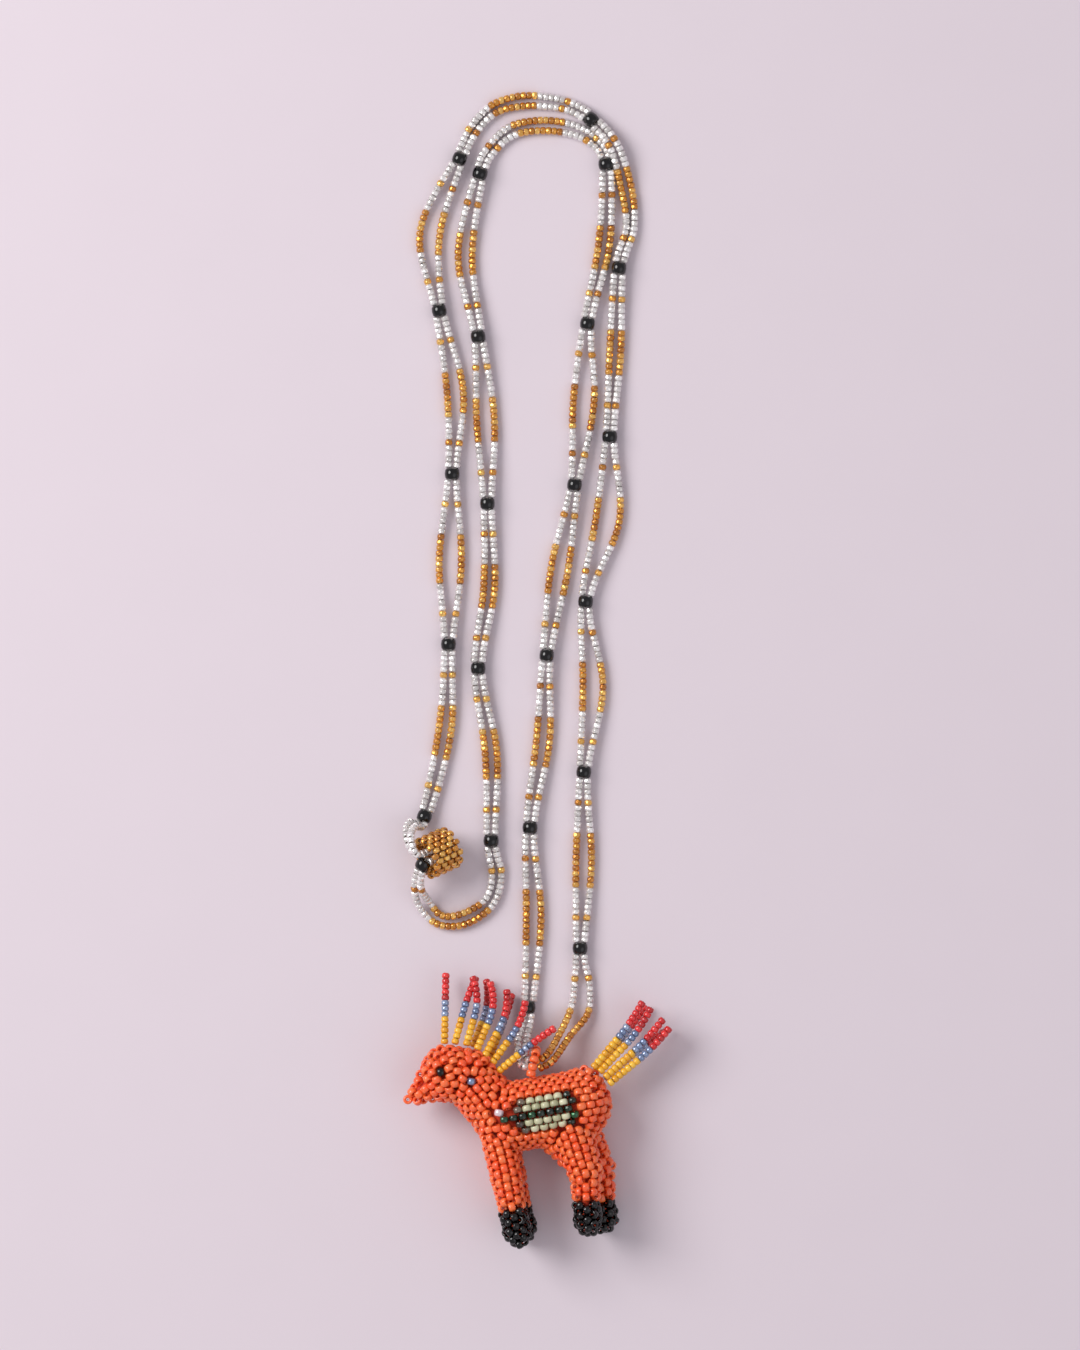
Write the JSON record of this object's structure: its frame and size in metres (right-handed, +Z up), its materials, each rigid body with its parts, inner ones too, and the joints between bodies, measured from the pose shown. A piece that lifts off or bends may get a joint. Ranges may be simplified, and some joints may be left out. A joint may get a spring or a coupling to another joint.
{
  "type": "beaded horse pendant necklace",
  "caption": "Stuffed beaded horse with fringed mane and tail, hung by a bead loop on a long two-strand beaded necklace with a tube ring.",
  "frame": {"origin": "middle of the lying horse's box, on the table", "axes": "+X towards the tail, +Y towards the back and mane, +Z up from the table the horse lies on"},
  "size_m": [0.0743, 0.3115, 0.0194],
  "materials": {
    "orange_beads": "opaque, glossy",
    "black_beads": "opaque, glossy",
    "yellow_beads": "opaque, glossy, with steel-blue and coral-red beads beyond the yellow ones",
    "blue_beads": "pearl",
    "pearl_beads": "pearl",
    "pale_beads": "opaque, soft gloss",
    "green_beads": "transparent, sparkling",
    "bronze_beads": "metallic grey-brown",
    "clear_beads": "silver-lined clear, with silver-lined gold sections",
    "gold_beads": "silver-lined gold",
    "stuffing": "loose fibre",
    "thread": "waxed thread"
  },
  "bodies": {
    "horse": {"body_skin": "orange_beads", "body_stuffing": "stuffing", "front_leg_near": "orange_beads", "front_leg_far": "orange_beads", "hind_leg_near": "orange_beads", "hind_leg_far": "orange_beads", "front_core_near": "stuffing", "front_core_far": "stuffing", "hind_core_near": "stuffing", "hind_core_far": "stuffing", "front_hoof_near": "black_beads", "front_hoof_far": "black_beads", "hind_hoof_near": "black_beads", "hind_hoof_far": "black_beads", "eye_beads": "black_beads", "cheek_beads": "blue_beads", "chest_beads": "pearl_beads", "wing_pale_beads": "pale_beads", "wing_green_beads": "green_beads", "wing_bronze_beads": "bronze_beads", "loop_beads": "orange_beads", "loop_thread": "thread"},
    "necklace": {"necklace_strand_1": "clear_beads", "necklace_strand_2": "clear_beads", "spacer_beads": "black_beads"},
    "ring": {"gold_ring": "gold_beads"},
    "mane_1": {"mane_1": "yellow_beads"},
    "mane_2": {"mane_2": "yellow_beads"},
    "mane_3": {"mane_3": "yellow_beads"},
    "mane_4": {"mane_4": "yellow_beads"},
    "mane_5": {"mane_5": "yellow_beads"},
    "mane_6": {"mane_6": "yellow_beads"},
    "mane_7": {"mane_7": "yellow_beads"},
    "mane_8": {"mane_8": "yellow_beads"},
    "mane_9": {"mane_9": "yellow_beads"},
    "tail_1": {"tail_1": "yellow_beads"},
    "tail_2": {"tail_2": "yellow_beads"},
    "tail_3": {"tail_3": "yellow_beads"},
    "tail_4": {"tail_4": "yellow_beads"},
    "tail_5": {"tail_5": "yellow_beads"},
    "tail_6": {"tail_6": "yellow_beads"}
  },
  "joints": [
    {"name": "necklace_swing", "type": "hinge", "parent": "horse", "child": "necklace", "pos_m": [-0.0015, 0.0126, 0.0097], "axis": [1, 0, 0], "range_deg": [0, 12]},
    {"name": "ring_spin", "type": "hinge", "parent": "necklace", "child": "ring", "pos_m": [-0.0279, 0.0693, 0.0078], "axis": [0.7912, 0.3522, -0.5], "continuous": true},
    {"name": "mane_1_lift", "type": "hinge", "parent": "horse", "child": "mane_1", "pos_m": [-0.026, 0.0178, 0.01], "axis": [0.9998, -0.0174, 0], "range_deg": [0, 45]},
    {"name": "mane_2_lift", "type": "hinge", "parent": "horse", "child": "mane_2", "pos_m": [-0.0233, 0.0178, 0.0103], "axis": [0.9659, -0.2588, 0], "range_deg": [0, 45]},
    {"name": "mane_3_lift", "type": "hinge", "parent": "horse", "child": "mane_3", "pos_m": [-0.0202, 0.0174, 0.0107], "axis": [0.9613, -0.2756, 0], "range_deg": [0, 45]},
    {"name": "mane_4_lift", "type": "hinge", "parent": "horse", "child": "mane_4", "pos_m": [-0.0173, 0.0163, 0.0107], "axis": [0.9205, -0.3907, 0], "range_deg": [0, 45]},
    {"name": "mane_5_lift", "type": "hinge", "parent": "horse", "child": "mane_5", "pos_m": [-0.0153, 0.0145, 0.0107], "axis": [0.8829, -0.4695, 0], "range_deg": [0, 45]},
    {"name": "mane_6_lift", "type": "hinge", "parent": "horse", "child": "mane_6", "pos_m": [-0.0133, 0.0126, 0.0107], "axis": [0.809, -0.5878, 0], "range_deg": [0, 45]},
    {"name": "mane_7_lift", "type": "hinge", "parent": "horse", "child": "mane_7", "pos_m": [-0.0116, 0.0105, 0.0107], "axis": [0.6428, -0.766, 0], "range_deg": [0, 35]},
    {"name": "mane_8_lift", "type": "hinge", "parent": "horse", "child": "mane_8", "pos_m": [-0.0184, 0.0169, 0.0073], "axis": [0.9397, -0.342, 0], "range_deg": [0, 6]},
    {"name": "mane_9_lift", "type": "hinge", "parent": "horse", "child": "mane_9", "pos_m": [-0.0142, 0.0135, 0.0073], "axis": [0.9272, -0.3746, 0], "range_deg": [0, 6]},
    {"name": "tail_1_lift", "type": "hinge", "parent": "horse", "child": "tail_1", "pos_m": [0.01403, 0.01009, 0.01107], "axis": [0.809, -0.5878, 0], "range_deg": [0, 45]},
    {"name": "tail_2_lift", "type": "hinge", "parent": "horse", "child": "tail_2", "pos_m": [0.01574, 0.00898, 0.01107], "axis": [0.7547, -0.6561, 0], "range_deg": [0, 45]},
    {"name": "tail_3_lift", "type": "hinge", "parent": "horse", "child": "tail_3", "pos_m": [0.01718, 0.00754, 0.01107], "axis": [0.6691, -0.7431, 0], "range_deg": [0, 45]},
    {"name": "tail_4_lift", "type": "hinge", "parent": "horse", "child": "tail_4", "pos_m": [0.01829, 0.00583, 0.01107], "axis": [0.6018, -0.7986, 0], "range_deg": [0, 45]},
    {"name": "tail_5_lift", "type": "hinge", "parent": "horse", "child": "tail_5", "pos_m": [0.01481, 0.00942, 0.00732], "axis": [0.788, -0.6157, 0], "range_deg": [0, 8]},
    {"name": "tail_6_lift", "type": "hinge", "parent": "horse", "child": "tail_6", "pos_m": [0.01723, 0.00715, 0.00732], "axis": [0.6428, -0.766, 0], "range_deg": [0, 8]}
  ]
}
